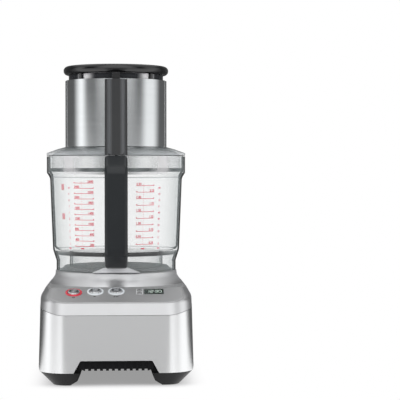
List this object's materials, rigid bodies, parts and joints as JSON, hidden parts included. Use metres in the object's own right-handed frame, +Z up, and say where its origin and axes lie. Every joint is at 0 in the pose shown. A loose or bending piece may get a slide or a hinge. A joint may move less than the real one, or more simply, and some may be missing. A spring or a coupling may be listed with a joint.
{
  "type": "food processor",
  "caption": "Countertop food processor: brushed metal base with a sloping control panel, clear bowl with loop handle, lid with a wide steel-banded feed chute and nested pushers.",
  "frame": {"origin": "where the drive axis meets the bench, at the level of the feet", "axes": "+Z up along the drive axis, -Y towards the user (handle and control panel), +X to the user's right"},
  "size_m": [0.2196, 0.2683, 0.446],
  "materials": {
    "brushed_steel": "fine horizontal brushing, clear coated",
    "black_plastic": "fine moulded grain",
    "black_gloss": "polished black",
    "charcoal_plastic": "satin charcoal",
    "rubber": "matt",
    "seal_grey": "matt grey silicone",
    "deck_grey": "metallic grey, satin",
    "panel_grey": "satin metallic grey",
    "ring_red": "translucent red light ring",
    "ring_white": "translucent white light ring",
    "button_metal": "spun, fine rings",
    "display_glass": "dark tinted window",
    "circuit_green": "solder mask",
    "clear_plastic": "clear, polished",
    "lid_plastic": "translucent silver grey, polished",
    "smoke_plastic": "dark translucent grey",
    "polished_steel": "polished stainless with vertical highlights",
    "foot_grey": "pale grey",
    "iron": "laminated core",
    "copper": "enamelled winding wire",
    "steel": "machined steel",
    "cast_metal": "die cast"
  },
  "bodies": {
    "base": {"base_shell": "brushed_steel", "top_shell": "brushed_steel", "base_tray": "black_plastic", "front_vent": "black_plastic", "rubber_feet": "rubber", "drive_deck": "deck_grey", "shaft_seal": "rubber", "control_panel": "panel_grey", "power_ring": "ring_red", "start_ring": "ring_white", "pulse_ring": "ring_white", "display_window": "display_glass", "display_module": "black_plastic", "control_board": "circuit_green", "tact_switches": "black_plastic", "board_standoffs": "steel", "stator_core": "iron", "stator_windings": "copper", "lower_bracket": "cast_metal", "upper_bracket": "cast_metal", "lower_bearing": "steel", "upper_bearing": "steel", "stator_bolts": "steel", "motor_mounts": "rubber", "run_capacitor": "cast_metal", "cord_inlet": "black_plastic", "interlock_switch": "black_plastic", "chassis_posts": "steel", "base_screws": "steel"},
    "drive": {"motor_shaft": "steel", "rotor_core": "iron", "cooling_fan": "black_plastic", "drive_coupling": "steel", "spindle": "charcoal_plastic"},
    "bowl": {"bowl": "clear_plastic", "bowl_handle": "charcoal_plastic", "handle_foot": "foot_grey"},
    "lower_rod": {"handle_rod": "steel", "rod_magnet": "steel"},
    "lid": {"lid": "lid_plastic", "lid_seal": "seal_grey", "feed_chute": "clear_plastic", "chute_band": "polished_steel", "chute_spine": "charcoal_plastic"},
    "upper_rod": {"lid_rod": "steel"},
    "pusher": {"pusher_body": "smoke_plastic", "pusher_cap": "black_plastic", "pusher_stops": "black_gloss", "pusher_tab": "black_gloss"},
    "small_pusher": {"small_pusher": "black_plastic"},
    "power_button": {"power_button": "button_metal"},
    "start_button": {"start_button": "button_metal"},
    "pulse_button": {"pulse_button": "button_metal"},
    "timer_up_key": {"timer_up_key": "panel_grey"},
    "timer_down_key": {"timer_down_key": "panel_grey"}
  },
  "joints": [
    {"name": "drive_spin", "type": "hinge", "parent": "base", "child": "drive", "pos_m": [0, 0, 0.1], "axis": [0, 0, 1], "continuous": true},
    {"name": "bowl_lift", "type": "slide", "parent": "base", "child": "bowl", "axis": [0, 0, 1], "range_m": [0, 0.13]},
    {"name": "lower_rod_slide", "type": "slide", "parent": "bowl", "child": "lower_rod", "axis": [0, -0.0741, 0.9972], "range_m": [0, 0.005]},
    {"name": "lid_lift", "type": "slide", "parent": "bowl", "child": "lid", "axis": [0, 0, 1], "range_m": [0, 0.04]},
    {"name": "upper_rod_slide", "type": "slide", "parent": "lid", "child": "upper_rod", "axis": [0, 0.2415, 0.9704], "range_m": [0, 0.005]},
    {"name": "pusher_lift", "type": "slide", "parent": "lid", "child": "pusher", "axis": [0, 0, 1], "range_m": [0, 0.115]},
    {"name": "small_pusher_lift", "type": "slide", "parent": "pusher", "child": "small_pusher", "axis": [0, 0, 1], "range_m": [0, 0.13]},
    {"name": "power_press", "type": "slide", "parent": "base", "child": "power_button", "axis": [0, 0.3453, -0.9385], "range_m": [0, 0.0015], "stiffness_N_per_m": 400, "springref_m": -0.001},
    {"name": "start_press", "type": "slide", "parent": "base", "child": "start_button", "axis": [0, 0.3453, -0.9385], "range_m": [0, 0.0015], "stiffness_N_per_m": 400, "springref_m": -0.001},
    {"name": "pulse_press", "type": "slide", "parent": "base", "child": "pulse_button", "axis": [0, 0.3453, -0.9385], "range_m": [0, 0.0015], "stiffness_N_per_m": 400, "springref_m": -0.001},
    {"name": "timer_up_press", "type": "slide", "parent": "base", "child": "timer_up_key", "axis": [0, 0.3453, -0.9385], "range_m": [0, 0.0008], "stiffness_N_per_m": 400, "springref_m": -0.001},
    {"name": "timer_down_press", "type": "slide", "parent": "base", "child": "timer_down_key", "axis": [0, 0.3453, -0.9385], "range_m": [0, 0.0008], "stiffness_N_per_m": 400, "springref_m": -0.001}
  ],
  "couplings": [
    {"joint": "lower_rod_slide", "follows": "pusher_lift", "ratio": 0.04},
    {"joint": "upper_rod_slide", "follows": "pusher_lift", "ratio": 0.04}
  ]
}
